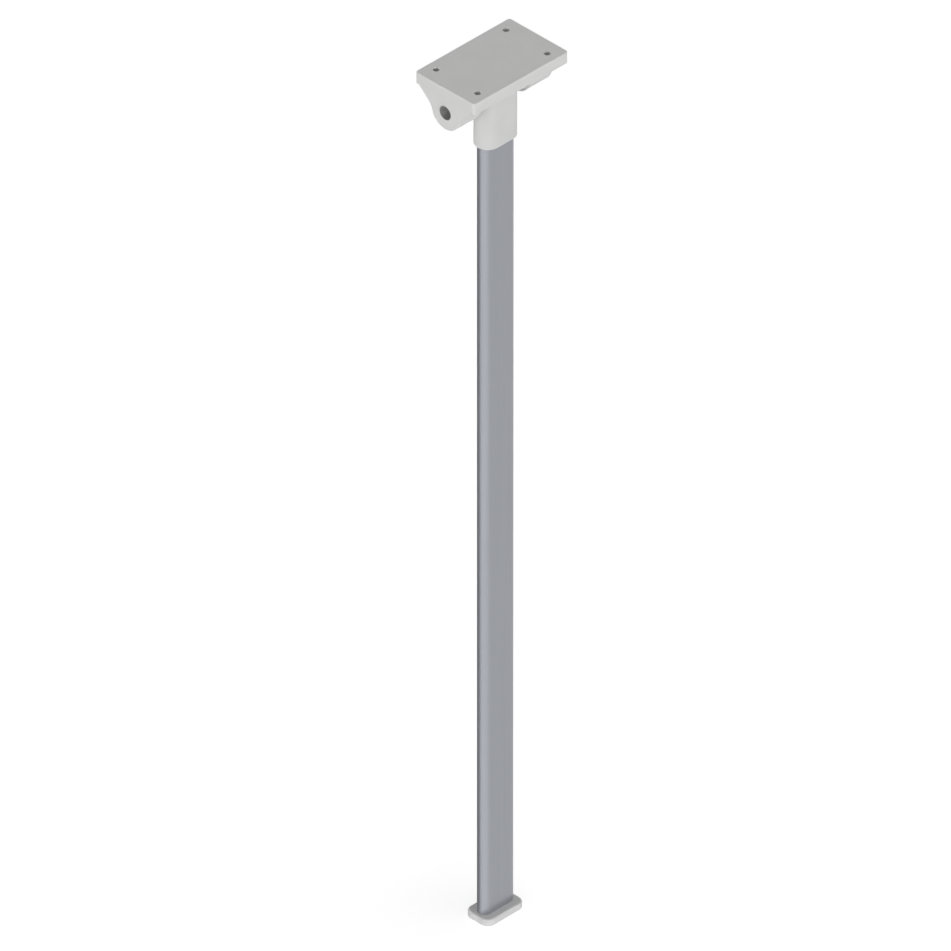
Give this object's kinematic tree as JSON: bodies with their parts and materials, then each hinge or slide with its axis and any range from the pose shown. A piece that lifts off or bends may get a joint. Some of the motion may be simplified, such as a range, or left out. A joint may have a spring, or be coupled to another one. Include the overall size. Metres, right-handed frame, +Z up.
{
  "type": "folding table leg",
  "caption": "Folding table leg: flat-oval aluminium tube with a moulded foot, hinged at its top to a moulded plate that screws under a table top and held by a friction pivot.",
  "frame": {"origin": "middle of the plate's top face, which is screwed against the underside of the table top", "axes": "+Z up out of the plate's top face, X along the hinge pin with the pivot screw's head at -X, and the leg folds up towards +Y"},
  "size_m": [0.0882, 0.0552, 0.69],
  "materials": {
    "moulded_plastic": "off-white moulding with a fine satin texture",
    "tube_aluminium": "satin anodised, with fine extrusion lines along the tube",
    "pivot_steel": "satin nickel plate",
    "zinc_steel": "bright zinc plate",
    "washer_plastic": "mid grey moulding"
  },
  "bodies": {
    "bracket": {"mounting_bracket": "moulded_plastic", "pivot_screw": "pivot_steel", "sleeve_nut": "pivot_steel", "screw_washer": "zinc_steel", "disc_spring": "zinc_steel", "friction_washers": "washer_plastic"},
    "leg": {"leg_head": "moulded_plastic", "leg_tube": "tube_aluminium", "foot_plug": "moulded_plastic", "head_screws": "zinc_steel"}
  },
  "joints": [
    {"name": "leg_fold", "type": "hinge", "parent": "bracket", "child": "leg", "pos_m": [0, 0, -0.0202], "axis": [1, 0, 0], "range_deg": [0, 90]}
  ]
}
